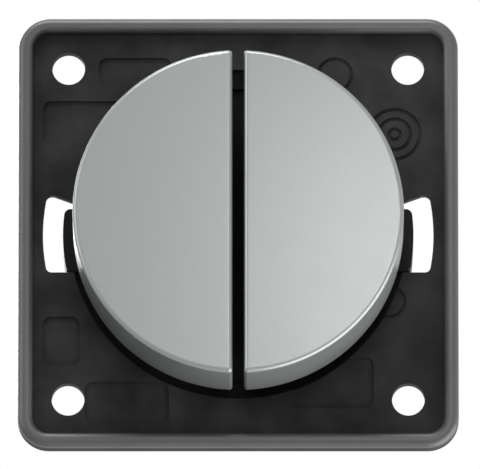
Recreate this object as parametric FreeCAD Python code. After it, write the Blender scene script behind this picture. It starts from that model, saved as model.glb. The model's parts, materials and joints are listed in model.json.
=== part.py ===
import FreeCAD, Part
import math
import os

from FreeCAD import Vector

# Flush push button light switch with two half-round buttons on a square support plate.
# Everything is drawn facing the viewer: x to the right, y up, z out of the wall, with z = 0
# on the wall. When a piece is saved it is stood up, so that the front looks along -Y
# and +Z is up. The origin is the middle of the plate, on the wall.

# Support plate
PLATE_SIDE = 55.0
PLATE_DEPTH = 2.8
PLATE_CORNER = 3.9
PLATE_EDGE_ROUND = 0.85
RIM_WIDTH = 1.85
RIM_INNER_ROUND = 0.75
FLOOR_BACK = 0.3
FLOOR_FRONT = 1.5

# Screw holes of the plate; this inset puts them on a 60 mm circle
SCREW_INSET = 6.2868
SCREW_HOLE_R = 2.05
SCREW_PAD_R = 3.6

# Shallow marks in the plate's floor
MARK_DEPTH = 0.3
MARK_STROKE = 0.45
MARK_CORNER = 1.0

# Round buttons
BUTTON_MARGIN = 6.9
BUTTON_GAP = 0.5
BUTTON_FACE = 14.3
SKIRT_BOTTOM = 4.2
SKIRT_WALL = 1.3
FACE_WALL = 1.6
FACE_ROUND = 0.55
CORNER_ROUND = 0.4
SLIT = 1.45

# Carrier inside each button, and the catches that hold it
CARRIER_GAP = 0.5
CARRIER_RIB = 1.8
CARRIER_SKIRT_WALL = 1.0
CARRIER_SKIRT_BOTTOM = 2.5
CATCH_HALF = 2.0
CATCH_SIDE_GAP = 0.3
CATCH_BITE = 2.0
CATCH_WALL = 1.0
CATCH_HOOK = 0.7
CATCH_TALL = 1.2
CATCH_FIT = 0.1
CATCH_PLAY = 0.05

# Pivot of the buttons, a line along x
PIVOT_Z = 5.2
PRESS_DEG = 5.0
TRUNNION_R = 1.2
RUNNING_FIT = 0.06
MOUTH_SHARE = 0.8
CHEEK_MARGIN = 1.4
CHEEK_INSET = 2.2
CHEEK_GAP = 0.2
CHEEK_WALL = 1.5
CHEEK_HALF = 2.6
CHEEK_FOOT = 1.4
CHEEK_FOOT_HIGH = 1.2
WEB_WALL = 1.4
WEB_ROUND = 2.3
WEB_INSET = 1.9

# Plungers, under the lower end of each button
LEVER_SHARE = 0.51
PLUNGER_R = 1.75
PLUNGER_TOP = 2.9
PLUNGER_DOME_R = 3.0
PLUNGER_FIT = 0.06
TOUCH_GAP = 0.12
COLLAR_R = 2.8
COLLAR_HEIGHT = 1.1
SPIGOT_R = 1.1
SPIGOT_LONG = 1.4
SPIGOT_EDGE = 0.3

# Notches at the sides of the plate, and the lugs that stand in them
NOTCH_ROOM = 2.5
NOTCH_HALF = 4.94
NOTCH_FLAT = 1.4
NOTCH_DROP = 1.38
NOTCH_ROUND = 0.7
LUG_REACH = 1.7
LUG_ROOT = 1.5
LUG_TOP = 3.3
LUG_GAP = 0.24
LUG_FRONT = 1.0
LUG_BACK = -8.0
LUG_ROUND = 0.8

# Switch base, behind the wall line
BASE_INSET = 0.4
BASE_EDGE = 0.8
BASE_COVER = 0.23
FLANGE_INSET = 1.0
FLANGE_WALL = 1.5
FLANGE_SLACK = 0.7
SEAT_WALL = 1.3
SEAT_LEDGE = 0.9
FLAT_CUT = 4.0
FLAT_START = 0.43
POCKET_WALL = 1.6
POCKET_CORNER = 1.0

# Bearing frame, the lid of the base that carries the buttons
DECK_FRONT = -0.2
DECK_WALL = 1.5
DECK_FIT = 0.1
GUIDE_WALL = 1.4
GUIDE_TOP = 1.2
STOP_R = 2.2
STOP_TOP = 2.0
RIB_HALF = 0.5
RIB_HIGH = 0.9

# Contacts
BRIDGE_FRONT = -6.9
BRIDGE_WALL = 0.6
BRIDGE_HALF = 1.3
BRIDGE_EYE = 1.0
CHAMBER_GAP = 0.15
TIP_R = 1.1
TIP_HEIGHT = 0.6
STRIP_WALL = 0.8
STRIP_HALF = 1.3
STRIP_FIT = 0.05
PAD_SIDE = 4.4
PAD_CORNER = 0.6
CONTACT_SPARE = 0.06

# Return springs
SPRING_WIRE = 0.5
SPRING_TURNS = 3
WIRE_SIDES = 10
WELL_R = 2.4
WELL_GAP = 0.1
WELL_DEPTH = 4.8

# Terminals, along the top of the base
TERMINAL_SIDE = 6.0
TERMINAL_TALL = 6.4
TERMINAL_DEEP = 5.7
TERMINAL_CORNER = 0.3
TERMINAL_FIT = 0.1
TERMINAL_SHIFT = 2.1
TERMINAL_MARGIN = 1.4
COMMON_MARGIN = 1.5
WIRE_R = 1.6
WIRE_DEPTH = 1.0
WIRE_ENTRY_R = 1.9
TERMINAL_SCREW_R = 1.45
TERMINAL_HEAD_R = 2.1
TERMINAL_HEAD = 1.4
TERMINAL_HEAD_GAP = 0.1
ACCESS_R = 2.4
WIRE_ROOM = 2.6

# Screws that hold the bearing frame
FRAME_SCREW_R = 1.25
FRAME_SCREW_LONG = 6.5
FRAME_SCREW_HOLE = 0.15
FRAME_HEAD_R = 2.2
FRAME_HEAD = 1.0
FRAME_HEAD_MARGIN = 1.27
THREAD_FIT = 0.02
BOSS_WALL = 1.1
BOSS_GAP = 0.45
BOSS_FLOOR = 0.6
HEAD_EDGE = 0.25
DRIVE_SLOT = 0.6
DRIVE_DEPTH = 0.6

# Snap arms of the plate
ARM_GAP = 0.2
ARM_WALL = 1.4
ARM_ANGLE = 14.0
HOOK_DEEP = 0.9
HOOK_EDGE = 0.7
HOOK_GAP = 0.05
HOOK_TALL = 2.2
ARM_ANGLES = (60.0, 120.0, 240.0, 300.0)

# Overlap of pieces that are joined, reach of a cutter past a face, and a reach past everything
BITE = 0.1
PAST = 1.0
FAR = 4 * PLATE_SIDE

SIDES = {"left": -1, "right": 1}

# Plan sizes that follow from the plate
button_r = PLATE_SIDE / 2 - BUTTON_MARGIN
opening_r = button_r + BUTTON_GAP
screw_half = PLATE_SIDE / 2 - SCREW_INSET
base_r = button_r - BASE_INSET
seat_r = base_r - SEAT_WALL
chamber_r = seat_r - SEAT_LEDGE
flat_y = base_r - FLAT_CUT
lug_r = base_r + LUG_REACH
notch_r = lug_r + NOTCH_ROOM
flange_r = notch_r - FLANGE_INSET
carrier_r = button_r - SKIRT_WALL - CARRIER_GAP
carrier_x = SLIT / 2 + SKIRT_WALL + CARRIER_GAP
inner_cheek_x = carrier_x + CHEEK_MARGIN
inner_web_x = inner_cheek_x + CHEEK_WALL + CHEEK_GAP + WEB_WALL / 2
outer_cheek_x = seat_r - CHEEK_INSET - CHEEK_WALL
outer_web_x = outer_cheek_x - CHEEK_GAP - WEB_WALL / 2

# Plungers and contacts: the outer end of each bridge just clears the chamber's wall
lever = LEVER_SHARE * button_r
tip_offset = WELL_R + WELL_GAP + TIP_R
plunger_x = math.sqrt((chamber_r - CHAMBER_GAP - BRIDGE_HALF) ** 2 - lever ** 2) - tip_offset
plunger_y = -lever
catch_y = math.sqrt(carrier_r ** 2 - (plunger_x - CATCH_HALF - CATCH_SIDE_GAP) ** 2) - CATCH_BITE

# Screws of the bearing frame, beside the bridges
boss_r = FRAME_SCREW_R + BOSS_WALL
frame_screw_y = lever + BRIDGE_HALF + BOSS_GAP + boss_r
frame_screw_x = math.sqrt((seat_r - FRAME_HEAD_R - FRAME_HEAD_MARGIN) ** 2 - frame_screw_y ** 2)

# Terminals: the side ones reach close to the base's wall, the shared one close to its flat
terminal_wide = TERMINAL_SIDE + 2 * TERMINAL_FIT
terminal_tall = TERMINAL_TALL + 2 * TERMINAL_FIT
terminal_x = plunger_x + TERMINAL_SHIFT
terminal_reach = math.sqrt((base_r - TERMINAL_MARGIN) ** 2 - (terminal_x + terminal_wide / 2) ** 2)
terminal_y = terminal_reach - terminal_tall / 2
common_y = flat_y - COMMON_MARGIN - terminal_tall / 2

# Heights, from the front to the back
carrier_front = BUTTON_FACE - FACE_WALL
carrier_back = carrier_front - FACE_WALL
deck_back = DECK_FRONT - DECK_WALL
travel = lever * math.radians(PRESS_DEG)
tip_back = BRIDGE_FRONT - BRIDGE_WALL - TIP_HEIGHT
chamber_floor = tip_back - travel - CONTACT_SPARE - TIP_HEIGHT
strip_back = chamber_floor - STRIP_WALL
flat_front = strip_back - FLAT_START
well_bottom = chamber_floor - WELL_DEPTH
wire_z = strip_back - WIRE_DEPTH - WIRE_R
terminal_back = strip_back - TERMINAL_DEEP
base_back = terminal_back - TERMINAL_HEAD_GAP - TERMINAL_HEAD - BASE_COVER


def box(x_range, y_range, z_range):
    """A block between two corners, whichever way round each pair is given."""
    x0, x1 = sorted(x_range)
    y0, y1 = sorted(y_range)
    z0, z1 = sorted(z_range)
    return Part.makeBox(x1 - x0, y1 - y0, z1 - z0, Vector(x0, y0, z0))


def rod(radius, z_range, x=0.0, y=0.0):
    """A round rod along z."""
    z0, z1 = sorted(z_range)
    return Part.makeCylinder(radius, z1 - z0, Vector(x, y, z0))


def rod_x(radius, x_range, y, z):
    """A round rod along x."""
    x0, x1 = sorted(x_range)
    return Part.makeCylinder(radius, x1 - x0, Vector(x0, y, z), Vector(1, 0, 0))


def rod_y(radius, y_range, x, z):
    """A round rod along y."""
    y0, y1 = sorted(y_range)
    return Part.makeCylinder(radius, y1 - y0, Vector(x, y0, z), Vector(0, 1, 0))


def ring(inner_r, outer_r, z_range, x=0.0, y=0.0):
    """A flat ring or tube along z."""
    return rod(outer_r, z_range, x, y).cut(rod(inner_r, z_range, x, y))


def upright_edges(shape):
    """The straight edges of a shape that run along z."""
    found = []
    for edge in shape.Edges:
        start = edge.Vertexes[0].Point
        end = edge.Vertexes[-1].Point
        if math.hypot(start.x - end.x, start.y - end.y) < 1e-6 and abs(start.z - end.z) > 1e-6:
            found.append(edge)
    return found


def level_edges(shape, z):
    """The edges of a shape that lie flat at one height."""
    found = []
    for edge in shape.Edges:
        limits = edge.BoundBox
        if abs(limits.ZMin - z) < 1e-6 and abs(limits.ZMax - z) < 1e-6:
            found.append(edge)
    return found


def rounded_block(width, height, corner, z_range, x=0.0, y=0.0):
    """A block with its four upright edges rounded."""
    block = box((x - width / 2, x + width / 2), (y - height / 2, y + height / 2), z_range)
    return block.makeFillet(corner, upright_edges(block))


def prism(points, z_range):
    """A straight-sided outline raised along z."""
    z0, z1 = sorted(z_range)
    corners = [Vector(px, py, z0) for px, py in points]
    face = Part.Face(Part.makePolygon(corners + corners[:1]))
    return face.extrude(Vector(0, 0, z1 - z0))


def fused(pieces):
    """Several shapes joined into one clean solid."""
    whole = pieces[0].fuse(pieces[1:])
    return whole.removeSplitter()


def saved(name, shape):
    """Stand a finished piece up against the wall and write it."""
    shape = shape.copy()
    shape.rotate(Vector(0, 0, 0), Vector(1, 0, 0), 90)
    if shape.ShapeType == "Compound" and len(shape.Solids) == 1:
        shape = shape.Solids[0]
    shape.exportStep(os.path.join("parts", name + ".step"))
    print(name, len(shape.Solids), "solid", round(shape.Volume, 1), "mm3", shape.isValid())


def notch(side):
    """One see-through side notch of the plate, as the solid that is cut away."""
    inner = base_r - PAST
    outline = [
        (side * inner, -NOTCH_HALF),
        (side * FAR, -NOTCH_HALF),
        (side * FAR, NOTCH_HALF),
        (side * (notch_r - NOTCH_FLAT), NOTCH_HALF),
        (side * inner, NOTCH_HALF - NOTCH_DROP),
    ]
    z_range = (-PAST, PLATE_DEPTH + PAST)
    cutter = prism(outline, z_range).common(rod(notch_r, z_range))
    outer = [e for e in upright_edges(cutter) if abs(e.Vertexes[0].Point.x) > notch_r - NOTCH_FLAT + BITE]
    return cutter.makeFillet(NOTCH_ROUND, outer)


def snap_arm(angle):
    """A springy arm behind the plate whose hook grips the flange of the base."""
    inner = flange_r + ARM_GAP
    outer = inner + ARM_WALL
    hook_front = FLOOR_BACK - FLANGE_WALL - HOOK_GAP
    hook_back = hook_front - HOOK_TALL
    profile = [
        (inner, FLOOR_BACK + BITE),
        (outer, FLOOR_BACK + BITE),
        (outer, hook_back),
        (inner, hook_back),
        (inner - HOOK_DEEP, hook_front - HOOK_EDGE),
        (inner - HOOK_DEEP, hook_front),
        (inner, hook_front),
    ]
    corners = [Vector(r, 0, z) for r, z in profile]
    face = Part.Face(Part.makePolygon(corners + corners[:1]))
    arm = face.revolve(Vector(0, 0, 0), Vector(0, 0, 1), ARM_ANGLE)
    arm.rotate(Vector(0, 0, 0), Vector(0, 0, 1), angle - ARM_ANGLE / 2)
    return arm


def floor_panel(x_side, y_side, x_inset, y_inset, width, height):
    """A shallow plain panel, placed from the nearest corner of the plate."""
    x = x_side * (PLATE_SIDE / 2 - x_inset)
    y = y_side * (PLATE_SIDE / 2 - y_inset)
    return rounded_block(width, height, MARK_CORNER, (FLOOR_FRONT - MARK_DEPTH, FLOOR_FRONT + BITE), x, y)


def floor_ring(y_side, x_inset, y_inset, *radii):
    """Round grooves with one middle, placed from a corner on the right of the plate."""
    x = PLATE_SIDE / 2 - x_inset
    y = y_side * (PLATE_SIDE / 2 - y_inset)
    z_range = (FLOOR_FRONT - MARK_DEPTH, FLOOR_FRONT + BITE)
    return [ring(radius - MARK_STROKE, radius, z_range, x, y) for radius in radii]


def floor_marks():
    """The plain panels and round insert marks moulded into the plate's floor."""
    marks = [
        floor_panel(-1, 1, 9.1, 13.2, 12.0, 5.5),
        floor_panel(-1, 1, 14.6, 6.6, 9.0, 3.4),
        floor_panel(-1, -1, 5.4, 13.8, 4.6, 6.2),
        floor_panel(-1, -1, 13.6, 5.9, 10.5, 5.3),
        floor_panel(1, -1, 15.6, 8.4, 10.0, 6.5),
    ]
    marks += floor_ring(1, 7.95, 14.7, 3.4, 2.2, 0.9)
    marks += floor_ring(1, 15.4, 7.1, 2.3)
    marks += floor_ring(-1, 8.6, 18.8, 2.1)
    return marks


def support_plate():
    """The black moulded plate: rim, sunk floor, round opening, screw holes and snap arms."""
    slab = rounded_block(PLATE_SIDE, PLATE_SIDE, PLATE_CORNER, (0, PLATE_DEPTH))
    slab = slab.makeFillet(PLATE_EDGE_ROUND, level_edges(slab, PLATE_DEPTH))
    inside = PLATE_SIDE - 2 * RIM_WIDTH
    inside_corner = PLATE_CORNER - RIM_WIDTH
    plate = slab.cut(rounded_block(inside, inside, inside_corner, (FLOOR_FRONT, PLATE_DEPTH + PAST)))
    half = inside / 2 + BITE
    inner_edges = [e for e in level_edges(plate, PLATE_DEPTH) if abs(e.Vertexes[0].Point.x) < half
                   and abs(e.Vertexes[0].Point.y) < half]
    plate = plate.makeFillet(RIM_INNER_ROUND, inner_edges)
    plate = plate.cut(rounded_block(inside, inside, inside_corner, (-PAST, FLOOR_BACK)))
    corners = [(sx * screw_half, sy * screw_half) for sx in (-1, 1) for sy in (-1, 1)]
    pads = [rod(SCREW_PAD_R, (0, FLOOR_BACK + BITE), x, y) for x, y in corners]
    arms = [snap_arm(angle) for angle in ARM_ANGLES]
    plate = fused([plate] + pads + arms)
    plate = plate.cut([rod(SCREW_HOLE_R, (-PAST, PLATE_DEPTH), x, y) for x, y in corners])
    plate = plate.cut(rod(opening_r, (FLOOR_BACK - BITE, PLATE_DEPTH)))
    plate = plate.cut([notch(side) for side in SIDES.values()])
    return plate.cut(floor_marks())


def base_lug(side):
    """A block beside the base that stands in a side notch, with a lower foot behind the plate."""
    x_range = (side * (base_r - LUG_ROOT), side * FAR)
    block = rod(lug_r, (LUG_BACK, LUG_FRONT))
    block = block.common(box(x_range, (LUG_GAP - NOTCH_HALF, LUG_TOP), (-FAR, FAR)))
    outer = [e for e in upright_edges(block) if abs(e.Vertexes[0].Point.x) > base_r]
    block = block.makeFillet(LUG_ROUND, outer)
    foot = rod(lug_r, (LUG_BACK, FLOOR_BACK))
    foot = foot.common(box(x_range, (-NOTCH_HALF - FLANGE_SLACK, 0), (-FAR, FAR)))
    return block.fuse(foot)


def terminal_places():
    """Name and middle of each terminal."""
    places = {"common": (0.0, common_y)}
    for name, side in SIDES.items():
        places[name] = (side * terminal_x, terminal_y)
    return places


def frame_screw_places():
    """Middles of the four screws that hold the bearing frame."""
    return [(sx * frame_screw_x, sy * frame_screw_y) for sx in (-1, 1) for sy in (-1, 1)]


def strip_pad(grow, z_range, x, y):
    """The square end of a strip, under its terminal."""
    side = PAD_SIDE + 2 * grow
    return rounded_block(side, side, PAD_CORNER, z_range, x, y)


def busbar_outline(grow, z_range):
    """The shared strip: a bar under the inner contacts and a stem up to its terminal."""
    half = STRIP_HALF + grow
    inner = plunger_x - tip_offset
    pieces = [
        box((-inner, inner), (plunger_y - half, plunger_y + half), z_range),
        rod(half, z_range, -inner, plunger_y),
        rod(half, z_range, inner, plunger_y),
        box((-half, half), (plunger_y, common_y), z_range),
        strip_pad(grow, z_range, 0, common_y),
    ]
    return fused(pieces)


def output_outline(side, grow, z_range):
    """An output strip: from the outer contact straight up to its terminal."""
    half = STRIP_HALF + grow
    outer = side * (plunger_x + tip_offset)
    pieces = [
        rod(half, z_range, outer, plunger_y),
        box((outer - half, outer + half), (plunger_y, terminal_y), z_range),
        strip_pad(grow, z_range, side * terminal_x, terminal_y),
    ]
    return fused(pieces)


def pocket(x_range, y_range):
    """One hollow in the back of the base."""
    width = abs(x_range[1] - x_range[0])
    height = abs(y_range[1] - y_range[0])
    depth = (base_back - PAST, strip_back - POCKET_WALL)
    return rounded_block(width, height, POCKET_CORNER, depth, sum(x_range) / 2, sum(y_range) / 2)


def rear_pockets():
    """Hollows between the wells and the terminals that keep the base's walls thin."""
    half = plunger_x - WELL_R - POCKET_WALL
    low = 2 * POCKET_WALL - flat_y
    pockets = [pocket((-half, half), (low, common_y - terminal_tall / 2 - POCKET_WALL))]
    side_low = plunger_y + WELL_R + POCKET_WALL
    side_high = terminal_y - terminal_tall / 2 - POCKET_WALL
    reach = math.sqrt((base_r - POCKET_WALL) ** 2 - side_low ** 2) - POCKET_CORNER
    for side in SIDES.values():
        pockets.append(pocket((side * (half + POCKET_WALL), side * reach), (side_low, side_high)))
    return pockets


def base_body():
    """The outside of the base: cup with two flats, flange and lugs, and the seat for its lid."""
    flange = rod(flange_r, (FLOOR_BACK - FLANGE_WALL, FLOOR_BACK))
    slack = NOTCH_HALF + FLANGE_SLACK
    flange = flange.cut(box((-FAR, FAR), (-slack, slack), (-FAR, FAR)))
    body = rod(base_r, (base_back, FLOOR_BACK))
    body = body.makeChamfer(BASE_EDGE, level_edges(body, base_back))
    body = fused([body, flange] + [base_lug(side) for side in SIDES.values()])
    for sign in (-1, 1):
        body = body.cut(box((-FAR, FAR), (sign * flat_y, sign * FAR), (base_back - PAST, flat_front)))
    body = body.cut(rod(seat_r, (deck_back, FLOOR_BACK + PAST)))
    return body.cut(rod(chamber_r, (chamber_floor, FLOOR_BACK + PAST)))


def switch_base():
    """The round black cup that holds the contacts, springs and terminals."""
    bosses = [rod(boss_r, (chamber_floor - BITE, deck_back), x, y) for x, y in frame_screw_places()]
    body = fused([base_body()] + bosses)
    above_floor = chamber_floor + BITE
    cuts = rear_pockets()
    cuts.append(busbar_outline(STRIP_FIT, (strip_back, above_floor)))
    for side in SIDES.values():
        cuts.append(output_outline(side, STRIP_FIT, (strip_back, above_floor)))
        cuts.append(rod(WELL_R, (well_bottom, above_floor), side * plunger_x, plunger_y))
    for x, y in frame_screw_places():
        cuts.append(rod(FRAME_SCREW_R + THREAD_FIT, (chamber_floor + BOSS_FLOOR, deck_back + BITE), x, y))
    for x, y in terminal_places().values():
        z_range = (terminal_back - TERMINAL_FIT, above_floor)
        cuts.append(rounded_block(terminal_wide, terminal_tall, TERMINAL_CORNER, z_range, x, y))
        cuts.append(rod(ACCESS_R, (base_back - PAST, terminal_back), x, y))
        cuts.append(rod_y(WIRE_ENTRY_R, (y, FAR), x, wire_z))
    return body.cut(cuts)


def cheek(side, x_near):
    """An ear of the bearing frame with the open-topped seat of a trunnion."""
    x_range = (side * x_near, side * (x_near + CHEEK_WALL))
    low = DECK_FRONT - BITE
    ear = box(x_range, (-CHEEK_HALF, CHEEK_HALF), (low, PIVOT_Z))
    ear = ear.fuse(rod_x(CHEEK_HALF, x_range, 0, PIVOT_Z))
    foot_half = CHEEK_HALF + CHEEK_FOOT
    foot = box(x_range, (-foot_half, foot_half), (low, DECK_FRONT + CHEEK_FOOT_HIGH))
    ear = fused([ear, foot])
    ear = ear.cut(rod_x(TRUNNION_R + RUNNING_FIT, x_range, 0, PIVOT_Z))
    mouth = MOUTH_SHARE * TRUNNION_R
    return ear.cut(box(x_range, (-mouth, mouth), (PIVOT_Z, FAR)))


def bearing_frame():
    """The lid of the base: cheeks for the trunnions, guides for the plungers and stops."""
    pieces = [rod(seat_r - DECK_FIT, (deck_back, DECK_FRONT))]
    guide_r = PLUNGER_R + PLUNGER_FIT
    for side in SIDES.values():
        pieces.append(cheek(side, inner_cheek_x))
        pieces.append(cheek(side, outer_cheek_x))
        x = side * plunger_x
        pieces.append(rod(guide_r + GUIDE_WALL, (deck_back, GUIDE_TOP), x, plunger_y))
        pieces.append(rod(STOP_R, (deck_back, STOP_TOP), x, lever))
        pieces.append(box((x - RIB_HALF, x + RIB_HALF), (plunger_y, lever), (deck_back, DECK_FRONT + RIB_HIGH)))
    frame = fused(pieces)
    holes = [rod(guide_r, (deck_back - PAST, FAR), side * plunger_x, plunger_y) for side in SIDES.values()]
    for x, y in frame_screw_places():
        holes.append(rod(FRAME_SCREW_R + FRAME_SCREW_HOLE, (deck_back - PAST, DECK_FRONT + PAST), x, y))
    return frame.cut(holes)


def half_disc(side, radius, x_near, z_range):
    """Half of a round slab, cut off by a plane beside the slit."""
    return rod(radius, z_range).common(box((side * x_near, side * FAR), (-FAR, FAR), (-FAR, FAR)))


def button_cap(side):
    """A half-round button: thin face, skirt all round and two catches for its carrier."""
    shell = half_disc(side, button_r, SLIT / 2, (SKIRT_BOTTOM, BUTTON_FACE))
    shell = shell.makeFillet(CORNER_ROUND, upright_edges(shell))
    shell = shell.makeFillet(FACE_ROUND, level_edges(shell, BUTTON_FACE))
    inside = (SKIRT_BOTTOM - PAST, carrier_front)
    shell = shell.cut(half_disc(side, button_r - SKIRT_WALL, SLIT / 2 + SKIRT_WALL, inside))
    near = catch_y + CATCH_FIT
    far = near + CATCH_WALL
    low = carrier_back - CATCH_TALL
    x_range = (side * (plunger_x - CATCH_HALF), side * (plunger_x + CATCH_HALF))
    catches = []
    for sign in (-1, 1):
        catches.append(box(x_range, (sign * near, sign * far), (low, carrier_front + BITE)))
        catches.append(box(x_range, (sign * (near - CATCH_HOOK), sign * far), (low, carrier_back - CATCH_PLAY)))
    return fused([shell] + catches)


def web(side, x_middle):
    """A V-shaped wall of the carrier that runs down to the pivot."""
    reach = math.sqrt(carrier_r ** 2 - (x_middle + WEB_WALL / 2) ** 2) - WEB_INSET
    outline = [(-reach, carrier_back), (reach, carrier_back), (WEB_ROUND, PIVOT_Z), (-WEB_ROUND, PIVOT_Z)]
    x0 = side * x_middle - WEB_WALL / 2
    corners = [Vector(x0, y, z) for y, z in outline]
    wall = Part.Face(Part.makePolygon(corners + corners[:1])).extrude(Vector(WEB_WALL, 0, 0))
    return wall.fuse(rod_x(WEB_ROUND, (x0, x0 + WEB_WALL), 0, PIVOT_Z))


def carrier_shell(side):
    """The deck and skirt of a carrier, both cut back where the catches of the cap reach through."""
    deck = half_disc(side, carrier_r, carrier_x, (carrier_back, carrier_front))
    skirt_z = (CARRIER_SKIRT_BOTTOM, carrier_back + BITE)
    skirt = half_disc(side, carrier_r, carrier_x, skirt_z)
    skirt = skirt.cut(half_disc(side, carrier_r - CARRIER_SKIRT_WALL, carrier_x + CARRIER_SKIRT_WALL, skirt_z))
    room = CATCH_HALF + CATCH_SIDE_GAP
    room_x = (side * (plunger_x - room), side * (plunger_x + room))
    hook_y = catch_y - CATCH_HOOK - CATCH_SIDE_GAP
    hook_z = (carrier_back - CATCH_TALL - CATCH_SIDE_GAP, FAR)
    for sign in (-1, 1):
        deck = deck.cut(box(room_x, (sign * catch_y, sign * FAR), (-FAR, FAR)))
        skirt = skirt.cut(box(room_x, (sign * hook_y, sign * FAR), hook_z))
    return [deck, skirt]


def rocker(side):
    """The black carrier inside a button, with trunnions, a pusher post and a stop post."""
    pieces = carrier_shell(side) + [web(side, inner_web_x), web(side, outer_web_x)]
    inner_pin = (side * (inner_web_x - BITE), side * (inner_cheek_x + BITE))
    outer_pin = (side * (outer_web_x + BITE), side * (outer_cheek_x + CHEEK_WALL - BITE))
    pieces.append(rod_x(TRUNNION_R, inner_pin, 0, PIVOT_Z))
    pieces.append(rod_x(TRUNNION_R, outer_pin, 0, PIVOT_Z))
    x = side * plunger_x
    rib_top = carrier_back + BITE
    pieces.append(rod(PLUNGER_R, (PLUNGER_TOP + TOUCH_GAP, rib_top), x, plunger_y))
    pieces.append(rod(PLUNGER_R, (STOP_TOP + TOUCH_GAP / 2, rib_top), x, lever))
    for y in (plunger_y, lever):
        x_range = (side * inner_web_x, side * outer_web_x)
        pieces.append(box(x_range, (y - RIB_HALF, y + RIB_HALF), (rib_top - CARRIER_RIB, rib_top)))
    return fused(pieces)


def plunger(side):
    """The pin between a button and its contact: round top, collar and spring spigot."""
    x = side * plunger_x
    shaft = rod(PLUNGER_R, (BRIDGE_FRONT, PLUNGER_TOP), x, plunger_y)
    dome = Part.makeSphere(PLUNGER_DOME_R, Vector(x, plunger_y, PLUNGER_TOP - PLUNGER_DOME_R))
    below_dome = rod(PLUNGER_R + BITE, (BRIDGE_FRONT - BITE, PLUNGER_TOP - PAST), x, plunger_y)
    shaft = shaft.common(dome.fuse(below_dome))
    collar_top = deck_back - STRIP_FIT
    collar = rod(COLLAR_R, (collar_top - COLLAR_HEIGHT, collar_top), x, plunger_y)
    spigot_end = BRIDGE_FRONT - BRIDGE_WALL - SPIGOT_LONG
    spigot = rod(SPIGOT_R, (spigot_end, BRIDGE_FRONT + BITE), x, plunger_y)
    spigot = spigot.makeChamfer(SPIGOT_EDGE, level_edges(spigot, spigot_end))
    return fused([shaft, collar, spigot])


def contact_bridge(side):
    """The flat moving bar that joins the shared strip to an output strip."""
    z_range = (BRIDGE_FRONT - BRIDGE_WALL, BRIDGE_FRONT)
    x = side * plunger_x
    bar = box((x - tip_offset, x + tip_offset), (plunger_y - BRIDGE_HALF, plunger_y + BRIDGE_HALF), z_range)
    ends = [rod(BRIDGE_HALF, z_range, x + sign * tip_offset, plunger_y) for sign in (-1, 1)]
    eye = rod(SPIGOT_R + BRIDGE_EYE, z_range, x, plunger_y)
    bridge = fused([bar, eye] + ends)
    return bridge.cut(rod(SPIGOT_R + STRIP_FIT, (-FAR, FAR), x, plunger_y))


def contact_tip(x, z_range):
    """A round silver tip in line with a plunger."""
    return rod(TIP_R, z_range, x, plunger_y)


def moving_tips(side):
    """The pair of silver tips under a contact bridge."""
    z_range = (tip_back, tip_back + TIP_HEIGHT)
    x = side * plunger_x
    return Part.makeCompound([contact_tip(x + sign * tip_offset, z_range) for sign in (-1, 1)])


def fixed_tips():
    """The four silver tips on the fixed strips."""
    z_range = (chamber_floor, chamber_floor + TIP_HEIGHT)
    tips = []
    for side in SIDES.values():
        for sign in (-1, 1):
            tips.append(contact_tip(side * plunger_x + sign * tip_offset, z_range))
    return Part.makeCompound(tips)


def return_spring(side):
    """The coil spring between the base and a contact bridge, made of half turns end to end."""
    bottom = well_bottom + SPRING_WIRE / 2
    top = BRIDGE_FRONT - BRIDGE_WALL - SPRING_WIRE / 2
    half_turns = 2 * SPRING_TURNS
    rise = (top - bottom) / half_turns
    # Half turns that lean by half of a wire side's angle meet face to face
    lean = 180.0 / WIRE_SIDES
    radius = rise / (2 * math.sin(math.radians(lean)))
    corners = []
    for count in range(WIRE_SIDES):
        around = 2 * math.pi * count / WIRE_SIDES
        out = radius + SPRING_WIRE / 2 * math.cos(around)
        corners.append(Vector(out, 0, SPRING_WIRE / 2 * math.sin(around)))
    section = Part.Face(Part.makePolygon(corners + corners[:1]))
    halves = []
    for count in range(half_turns):
        half = section.revolve(Vector(0, 0, 0), Vector(0, 0, 1), 180)
        half.rotate(Vector(0, 0, 0), Vector(0, 1, 0), lean)
        half.rotate(Vector(0, 0, 0), Vector(0, 0, 1), 180 * count)
        half.translate(Vector(side * plunger_x, plunger_y, bottom + rise * (count + 0.5)))
        halves.append(half)
    return fused(halves)


def terminal_block(x, y):
    """A brass block with a tunnel for the wire and a tapped hole for its screw."""
    z_range = (terminal_back, strip_back)
    block = rounded_block(TERMINAL_SIDE, TERMINAL_TALL, TERMINAL_CORNER, z_range, x, y)
    block = block.cut(rod_y(WIRE_R, (y - TERMINAL_TALL, y + TERMINAL_TALL), x, wire_z))
    return block.cut(rod(TERMINAL_SCREW_R + STRIP_FIT, (terminal_back - PAST, wire_z), x, y))


def screw(head_z, shank_z, head_r, shank_r, x, y):
    """A cheese-head screw along z with a straight driving slot in its head."""
    head = rod(head_r, head_z, x, y)
    outward = 1 if max(head_z) > max(shank_z) else -1
    top = max(head_z) if outward > 0 else min(head_z)
    head = head.makeChamfer(HEAD_EDGE, level_edges(head, top))
    shank = rod(shank_r, shank_z, x, y)
    slot_z = (top, top - outward * DRIVE_DEPTH)
    slot = box((x - head_r, x + head_r), (y - DRIVE_SLOT / 2, y + DRIVE_SLOT / 2), slot_z)
    return fused([head, shank]).cut(slot)


def frame_screws():
    """The four screws through the bearing frame into the base."""
    head = (DECK_FRONT, DECK_FRONT + FRAME_HEAD)
    shank = (DECK_FRONT - FRAME_SCREW_LONG, DECK_FRONT + BITE)
    made = [screw(head, shank, FRAME_HEAD_R, FRAME_SCREW_R, x, y) for x, y in frame_screw_places()]
    return Part.makeCompound(made)


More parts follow.
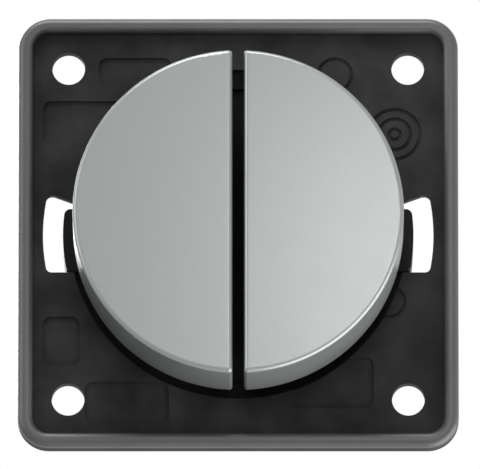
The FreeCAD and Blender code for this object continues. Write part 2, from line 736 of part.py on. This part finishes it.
def terminal_screws():
    """The screws that clamp the wires, driven from the back of the base."""
    head_front = terminal_back - TERMINAL_HEAD_GAP
    head = (head_front - TERMINAL_HEAD, head_front)
    shank = (head_front - BITE, wire_z + WIRE_R - WIRE_ROOM)
    made = []
    for x, y in terminal_places().values():
        made.append(screw(head, shank, TERMINAL_HEAD_R, TERMINAL_SCREW_R, x, y))
    return Part.makeCompound(made)


os.makedirs("parts", exist_ok=True)

saved("support_plate", support_plate())
saved("switch_base", switch_base())
saved("bearing_frame", bearing_frame())
saved("frame_screws", frame_screws())
saved("common_busbar", busbar_outline(0.0, (strip_back, chamber_floor)))
saved("fixed_contact_tips", fixed_tips())
saved("terminal_screws", terminal_screws())

for place, (place_x, place_y) in terminal_places().items():
    saved("terminal_block_" + place, terminal_block(place_x, place_y))

for hand, direction in SIDES.items():
    saved("button_cap_" + hand, button_cap(direction))
    saved("rocker_" + hand, rocker(direction))
    saved("plunger_" + hand, plunger(direction))
    saved("contact_bridge_" + hand, contact_bridge(direction))
    saved("moving_contact_tips_" + hand, moving_tips(direction))
    saved("return_spring_" + hand, return_spring(direction))
    saved("output_strip_" + hand, output_outline(direction, 0.0, (strip_back, chamber_floor)))
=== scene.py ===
import json
import math

import bpy
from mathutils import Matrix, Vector


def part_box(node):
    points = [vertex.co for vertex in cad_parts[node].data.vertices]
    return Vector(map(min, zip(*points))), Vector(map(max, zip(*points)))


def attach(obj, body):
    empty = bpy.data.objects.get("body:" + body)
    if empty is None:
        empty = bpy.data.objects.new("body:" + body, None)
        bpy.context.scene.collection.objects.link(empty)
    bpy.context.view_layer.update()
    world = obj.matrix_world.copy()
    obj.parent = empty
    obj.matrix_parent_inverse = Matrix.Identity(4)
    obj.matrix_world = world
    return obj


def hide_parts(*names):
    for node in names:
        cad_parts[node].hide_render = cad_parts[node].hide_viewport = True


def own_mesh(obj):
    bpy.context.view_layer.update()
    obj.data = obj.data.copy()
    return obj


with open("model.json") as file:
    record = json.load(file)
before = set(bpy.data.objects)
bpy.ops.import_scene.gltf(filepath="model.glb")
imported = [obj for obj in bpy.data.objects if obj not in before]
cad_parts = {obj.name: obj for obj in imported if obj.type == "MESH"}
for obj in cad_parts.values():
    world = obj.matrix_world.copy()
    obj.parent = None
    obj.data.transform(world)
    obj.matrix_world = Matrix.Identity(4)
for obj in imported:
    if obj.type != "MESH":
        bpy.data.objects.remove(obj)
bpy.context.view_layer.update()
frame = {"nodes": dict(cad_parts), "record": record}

MM = 0.001

# Camera: nearly parallel view from below, as in the photograph
VIEW_BELOW_DEG = 13.2
FRAME_WIDTH = 60.0 * MM
SENSOR = 36.0
LENS = 1400.0
CLIP_START = 0.05
CLIP_END = 20.0
AIM = (0.225 * MM, 0.0, 0.27 * MM)

# Soft rectangular lamps: name, place, point that they face, width and height, watts.
# The button faces mirror the key lamp, most at their lower right; top makes the shadow
# under the disc; left and low_right light rim and skirt; back lights the base from behind.
LAMPS = (
    ("key", (0.026, -0.148, 0.017), (0, -0.01, 0), (0.03, 0.055), 0.033),
    ("top", (-0.06, -0.215, 0.447), (0, 0, 0), (0.35, 0.22), 2.3),
    ("left", (-0.418, -0.250, 0.112), (0, 0, 0), (0.20, 0.30), 0.8),
    ("low_right", (0.370, -0.052, -0.333), (0, 0, 0), (0.60, 0.70), 5.2),
    ("back", (-0.20, 0.40, 0.22), (0, 0.01, 0), (0.30, 0.30), 2.2),
)

# Room and floor; a strength of 1 is seen as white
ROOM_LEVEL = 0.05
WHITE_LEVEL = 1.0
FLOOR_Z = -0.75
FLOOR_HALF = 3.0
FLOOR_PAINT = (0.8, 0.8, 0.8, 1)

# Noise patterns in cells per metre, and the part of their range that is used
CLOUD_CELLS = 180.0
HAZE_CELLS = 260.0
GLOSS_CELLS = 420.0
LINE_CELLS = 900.0
GRAIN_CELLS = 5200.0
FLAKE_CELLS = 9000.0
PATTERN_LOW = 0.3
PATTERN_HIGH = 0.7
GRAIN_HEIGHT = 0.01 * MM
FLAKE_HEIGHT = 0.004 * MM

# The plate's rim is shinier than its floor, and its lighter tint is a painted highlight; the
# change lies between these depths.
# Its roughness is the floor's, then the rim's.
RIM_GLOSS_AND_PAINTED_HIGHLIGHT_Y = (-2.1 * MM, -1.8 * MM)
PLATE_FLOOR_TINTS = ((0.012, 0.0122, 0.0118), (0.034, 0.0344, 0.0334))
# painted highlight: the rim's tints are lighter than the floor's
PLATE_RIM_PAINTED_HIGHLIGHT_TINTS = ((0.056, 0.0565, 0.055), (0.068, 0.0685, 0.067))
PLATE_LEVELS = {"Specular IOR Level": 0.1, "Coat Roughness": 0.42}
PLATE_ROUGH = (0.55, 0.42)

# Matt metallic lacquer of the button caps
LACQUER_TINTS = ((0.264, 0.277, 0.274), (0.283, 0.297, 0.293))
LACQUER_LEVELS = {
    "Metallic": 0.55, "Coat Weight": 0.1, "Coat Roughness": 0.3, "Specular IOR Level": 0.25,
}
LACQUER_ROUGH = (0.33, 0.35)

# Other moulded plastics: dark and light tint, roughness, gloss
MOULDED = {
    "black_base_plastic": ((0.005, 0.005, 0.005), (0.008, 0.008, 0.008), 0.5, 0.1),
    "black_carrier_plastic": ((0.006, 0.006, 0.006), (0.01, 0.01, 0.01), 0.6, 0.1),
    "natural_plastic": ((0.62, 0.6, 0.54), (0.72, 0.7, 0.64), 0.4, 0.25),
}
MOULDED_SMOOTHER = 0.05
MOULDED_ROUGHER = 0.06

# Bare metals: dark and light tint, roughness, stretch of the lines
METALS = {
    "brass_strip": ((0.62, 0.42, 0.18), (0.75, 0.56, 0.28), 0.3, (1, 1, 8)),
    "brass_block": ((0.6, 0.41, 0.17), (0.72, 0.53, 0.26), 0.28, (1, 6, 1)),
    "silver_contact": ((0.7, 0.69, 0.66), (0.85, 0.84, 0.81), 0.25, (1, 1, 1)),
    "zinc_plated_steel": ((0.5, 0.5, 0.49), (0.66, 0.66, 0.64), 0.32, (1, 1, 1)),
    "spring_steel": ((0.4, 0.4, 0.4), (0.56, 0.56, 0.56), 0.3, (1, 1, 1)),
}
METAL_SMOOTHER = 0.08
METAL_ROUGHER = 0.1

# Return springs
WIRE = 0.5 * MM
SPRING_TURNS = 5.0
CLOSED_TURNS = 1.0
COIL_STEPS = 16
COIL_ORDER = 3
COIL_SUBSTEPS = 2
WIRE_ROUNDNESS = 3


def look_at(thing, target):
    """Turn a lamp or camera so that it faces a point."""
    away = Vector(target) - thing.location
    thing.rotation_mode = "QUATERNION"
    thing.rotation_quaternion = away.to_track_quat("-Z", "Y")


def add_camera():
    """The camera in front of the plate and a little below it."""
    data = bpy.data.cameras.new("camera")
    data.lens = LENS
    data.sensor_width = SENSOR
    data.clip_start = CLIP_START
    data.clip_end = CLIP_END
    camera = bpy.data.objects.new("camera", data)
    bpy.context.scene.collection.objects.link(camera)
    below = math.radians(VIEW_BELOW_DEG)
    distance = FRAME_WIDTH * LENS / SENSOR
    camera.location = Vector(AIM) + distance * Vector((0.0, -math.cos(below), -math.sin(below)))
    look_at(camera, AIM)
    bpy.context.scene.camera = camera


def add_lamp(name, place, target, size, watts):
    """A soft rectangular lamp."""
    data = bpy.data.lights.new(name, "AREA")
    data.shape = "RECTANGLE"
    data.size, data.size_y = size
    data.energy = watts
    lamp = bpy.data.objects.new(name, data)
    bpy.context.scene.collection.objects.link(lamp)
    lamp.location = place
    look_at(lamp, target)


def white_for_camera(nodes, links, plain, output_socket, white_node, mix_node):
    """Mix a plain shader with pure white wherever the camera, gloss or glass looks at it."""
    path = nodes.new("ShaderNodeLightPath")
    seen = path.outputs["Is Camera Ray"]
    for ray in ("Is Glossy Ray", "Is Transmission Ray"):
        either = nodes.new("ShaderNodeMath")
        either.use_clamp = True
        links.new(seen, either.inputs[0])
        links.new(path.outputs[ray], either.inputs[1])
        seen = either.outputs[0]
    links.new(seen, mix_node.inputs[0])
    links.new(plain, mix_node.inputs[1])
    links.new(white_node.outputs[0], mix_node.inputs[2])
    links.new(mix_node.outputs[0], output_socket)


def add_world():
    """Even room light, seen as white by the camera."""
    world = bpy.data.worlds.new("room")
    bpy.context.scene.world = world
    world.use_nodes = True
    nodes = world.node_tree.nodes
    links = world.node_tree.links
    nodes.clear()
    room = nodes.new("ShaderNodeBackground")
    room.inputs["Color"].default_value = (1, 1, 1, 1)
    room.inputs["Strength"].default_value = ROOM_LEVEL
    white = nodes.new("ShaderNodeBackground")
    white.inputs["Color"].default_value = (1, 1, 1, 1)
    white.inputs["Strength"].default_value = WHITE_LEVEL
    output = nodes.new("ShaderNodeOutputWorld")
    mix = nodes.new("ShaderNodeMixShader")
    white_for_camera(nodes, links, room.outputs[0], output.inputs["Surface"], white, mix)


def add_floor():
    """A plain pale floor, far enough below for the low camera to see past it."""
    mesh = bpy.data.meshes.new("floor")
    signs = ((-1, -1), (1, -1), (1, 1), (-1, 1))
    corners = [(x * FLOOR_HALF, y * FLOOR_HALF, FLOOR_Z) for x, y in signs]
    mesh.from_pydata(corners, [], [(0, 1, 2, 3)])
    floor = bpy.data.objects.new("floor", mesh)
    bpy.context.scene.collection.objects.link(floor)
    material = bpy.data.materials.new("floor")
    material.use_nodes = True
    nodes = material.node_tree.nodes
    links = material.node_tree.links
    nodes.clear()
    paint = nodes.new("ShaderNodeBsdfDiffuse")
    paint.inputs["Color"].default_value = FLOOR_PAINT
    white = nodes.new("ShaderNodeEmission")
    white.inputs["Strength"].default_value = WHITE_LEVEL
    output = nodes.new("ShaderNodeOutputMaterial")
    mix = nodes.new("ShaderNodeMixShader")
    white_for_camera(nodes, links, paint.outputs[0], output.inputs["Surface"], white, mix)
    mesh.materials.append(material)


def new_material(name):
    """A material with a Principled shader, and a place in object space for its patterns."""
    material = bpy.data.materials.new(name)
    material.use_nodes = True
    nodes = material.node_tree.nodes
    shader = nodes["Principled BSDF"]
    place = nodes.new("ShaderNodeTexCoord")
    return material, nodes, material.node_tree.links, shader, place.outputs["Object"]


def set_levels(shader, levels):
    """Write constants on the shader's own sockets."""
    for socket, level in levels.items():
        shader.inputs[socket].default_value = level


def noise(nodes, links, place, scale, detail=3.0, roughness=0.55, stretch=(1, 1, 1)):
    """A noise pattern; scale counts its cells per metre."""
    mapping = nodes.new("ShaderNodeMapping")
    mapping.inputs["Scale"].default_value = stretch
    links.new(place, mapping.inputs["Vector"])
    pattern = nodes.new("ShaderNodeTexNoise")
    pattern.inputs["Scale"].default_value = scale
    pattern.inputs["Detail"].default_value = detail
    pattern.inputs["Roughness"].default_value = roughness
    links.new(mapping.outputs[0], pattern.inputs["Vector"])
    return pattern.outputs["Fac"]


def spread(nodes, links, value, low, high, from_low=PATTERN_LOW, from_high=PATTERN_HIGH):
    """Stretch a pattern over a range of numbers."""
    stretch = nodes.new("ShaderNodeMapRange")
    stretch.inputs["From Min"].default_value = from_low
    stretch.inputs["From Max"].default_value = from_high
    stretch.inputs["To Min"].default_value = low
    stretch.inputs["To Max"].default_value = high
    links.new(value, stretch.inputs["Value"])
    return stretch.outputs["Result"]


def tint(nodes, links, value, dark, light):
    """A colour between two, chosen by a pattern."""
    ramp = nodes.new("ShaderNodeValToRGB")
    ramp.color_ramp.elements[0].position = PATTERN_LOW
    ramp.color_ramp.elements[1].position = PATTERN_HIGH
    ramp.color_ramp.elements[0].color = (*dark, 1)
    ramp.color_ramp.elements[1].color = (*light, 1)
    links.new(value, ramp.inputs["Fac"])
    return ramp.outputs["Color"]


def grain(nodes, links, shader, value, strength, height):
    """Bump from a pattern; height is in metres."""
    bump = nodes.new("ShaderNodeBump")
    bump.inputs["Strength"].default_value = strength
    bump.inputs["Distance"].default_value = height
    links.new(value, bump.inputs["Height"])
    links.new(bump.outputs["Normal"], shader.inputs["Normal"])


def moulded_plastic(name, dark, light, rough, gloss_level):
    """Spark-eroded moulded plastic: faint cloudiness, fine grain, uneven gloss."""
    material, nodes, links, shader, place = new_material(name)
    set_levels(shader, {"Specular IOR Level": gloss_level})
    cloud = noise(nodes, links, place, CLOUD_CELLS)
    links.new(tint(nodes, links, cloud, dark, light), shader.inputs["Base Color"])
    gloss = noise(nodes, links, place, GLOSS_CELLS, detail=4.0)
    uneven = spread(nodes, links, gloss, rough - MOULDED_SMOOTHER, rough + MOULDED_ROUGHER)
    links.new(uneven, shader.inputs["Roughness"])
    fine = noise(nodes, links, place, GRAIN_CELLS, detail=2.0)
    grain(nodes, links, shader, fine, strength=0.35, height=GRAIN_HEIGHT)
    return material


def plate_plastic(name):
    """The support plate: matt eroded floor, and a smooth glossier rim whose lighter tint is a
    painted highlight.
    """
    material, nodes, links, shader, place = new_material(name)
    set_levels(shader, PLATE_LEVELS)
    axes = nodes.new("ShaderNodeSeparateXYZ")
    links.new(place, axes.inputs[0])
    rim = spread(nodes, links, axes.outputs["Y"], 1.0, 0.0, *RIM_GLOSS_AND_PAINTED_HIGHLIGHT_Y)
    cloud = noise(nodes, links, place, CLOUD_CELLS)
    either = nodes.new("ShaderNodeMix")
    either.data_type = "RGBA"
    links.new(rim, either.inputs["Factor"])
    links.new(tint(nodes, links, cloud, *PLATE_FLOOR_TINTS), either.inputs["A"])
    # painted highlight: the rim gets a lighter tint than the floor
    links.new(tint(nodes, links, cloud, *PLATE_RIM_PAINTED_HIGHLIGHT_TINTS), either.inputs["B"])
    links.new(either.outputs["Result"], shader.inputs["Base Color"])
    links.new(rim, shader.inputs["Coat Weight"])
    gloss = spread(nodes, links, rim, *PLATE_ROUGH, from_low=0.0, from_high=1.0)
    links.new(gloss, shader.inputs["Roughness"])
    fine = noise(nodes, links, place, GRAIN_CELLS, detail=2.0)
    grain(nodes, links, shader, fine, strength=0.3, height=GRAIN_HEIGHT)
    return material


def metallic_lacquer(name):
    """Matt metallic lacquer: fine flakes and an almost even gloss."""
    material, nodes, links, shader, place = new_material(name)
    flakes = noise(nodes, links, place, FLAKE_CELLS, detail=1.0)
    links.new(tint(nodes, links, flakes, *LACQUER_TINTS), shader.inputs["Base Color"])
    set_levels(shader, LACQUER_LEVELS)
    haze = noise(nodes, links, place, HAZE_CELLS, detail=3.0)
    links.new(spread(nodes, links, haze, *LACQUER_ROUGH), shader.inputs["Roughness"])
    grain(nodes, links, shader, flakes, strength=0.12, height=FLAKE_HEIGHT)
    return material


def bare_metal(name, dark, light, rough, stretch):
    """Bare metal with drawn or rolled lines and a patchy gloss."""
    material, nodes, links, shader, place = new_material(name)
    lines = noise(nodes, links, place, LINE_CELLS, detail=4.0, roughness=0.6, stretch=stretch)
    links.new(tint(nodes, links, lines, dark, light), shader.inputs["Base Color"])
    set_levels(shader, {"Metallic": 1.0})
    patchy = spread(nodes, links, lines, rough - METAL_SMOOTHER, rough + METAL_ROUGHER)
    links.new(patchy, shader.inputs["Roughness"])
    grain(nodes, links, shader, lines, strength=0.2, height=GRAIN_HEIGHT)
    return material


def make_materials():
    """One material for each slot of the record."""
    made = {
        "black_plastic": plate_plastic("black_plastic"),
        "matt_chrome_lacquer": metallic_lacquer("matt_chrome_lacquer"),
    }
    for name, look in MOULDED.items():
        made[name] = moulded_plastic(name, *look)
    for name, look in METALS.items():
        made[name] = bare_metal(name, *look)
    return made


def dress_cad_nodes(materials):
    """Give every carried-over CAD node the finish of its slot."""
    for part in frame["record"]["subparts"]:
        node = frame["nodes"][part["node"]]
        node.data.materials.clear()
        node.data.materials.append(materials[part["material_slot"]])


def coil_line(middle, radius, front, back):
    """Points of a compression spring along Y: closed end turns and open turns between them."""
    closed = CLOSED_TURNS * WIRE
    steps = round(SPRING_TURNS * COIL_STEPS)
    points = []
    for step in range(steps + 1):
        turn = step / COIL_STEPS
        from_end = min(turn, SPRING_TURNS - turn)
        if from_end < CLOSED_TURNS:
            along = from_end * WIRE
            y = front + along if turn < SPRING_TURNS / 2 else back - along
        else:
            share = (turn - CLOSED_TURNS) / (SPRING_TURNS - 2 * CLOSED_TURNS)
            y = front + closed + share * (back - front - 2 * closed)
        around = 2 * math.pi * turn
        x = middle.x + radius * math.cos(around)
        z = middle.z + radius * math.sin(around)
        points.append((x, y, z, 1.0))
    return points


def add_spring(hand, finish):
    """A smooth coil in place of the plain one."""
    node = "return_spring_" + hand
    low, high = (Vector(corner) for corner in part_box(node))
    front = low.y + WIRE / 2
    back = high.y - WIRE / 2
    radius = min(high.x - low.x, high.z - low.z) / 2 - WIRE / 2
    points = coil_line((low + high) / 2, radius, front, back)
    curve = bpy.data.curves.new("coil_line_" + hand, "CURVE")
    curve.dimensions = "3D"
    curve.bevel_depth = WIRE / 2
    curve.bevel_resolution = WIRE_ROUNDNESS
    curve.use_fill_caps = True
    spline = curve.splines.new("NURBS")
    spline.points.add(len(points) - 1)
    for point, place in zip(spline.points, points):
        point.co = place
    spline.order_u = COIL_ORDER
    spline.resolution_u = COIL_SUBSTEPS
    spline.use_endpoint_u = True
    line = bpy.data.objects.new("coil_line_" + hand, curve)
    mesh = bpy.data.meshes.new_from_object(line)
    bpy.data.objects.remove(line)
    mesh.polygons.foreach_set("use_smooth", [True] * len(mesh.polygons))
    mesh.materials.clear()
    mesh.materials.append(finish)
    coil = bpy.data.objects.new("coil_" + hand, mesh)
    bpy.context.scene.collection.objects.link(coil)
    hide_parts(node)
    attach(coil, "housing")
    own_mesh(coil)


bpy.context.scene.view_settings.view_transform = "Standard"
add_camera()
add_world()
add_floor()
for lamp_facts in LAMPS:
    add_lamp(*lamp_facts)
finishes = make_materials()
dress_cad_nodes(finishes)
for side_name in ("left", "right"):
    add_spring(side_name, finishes["spring_steel"])
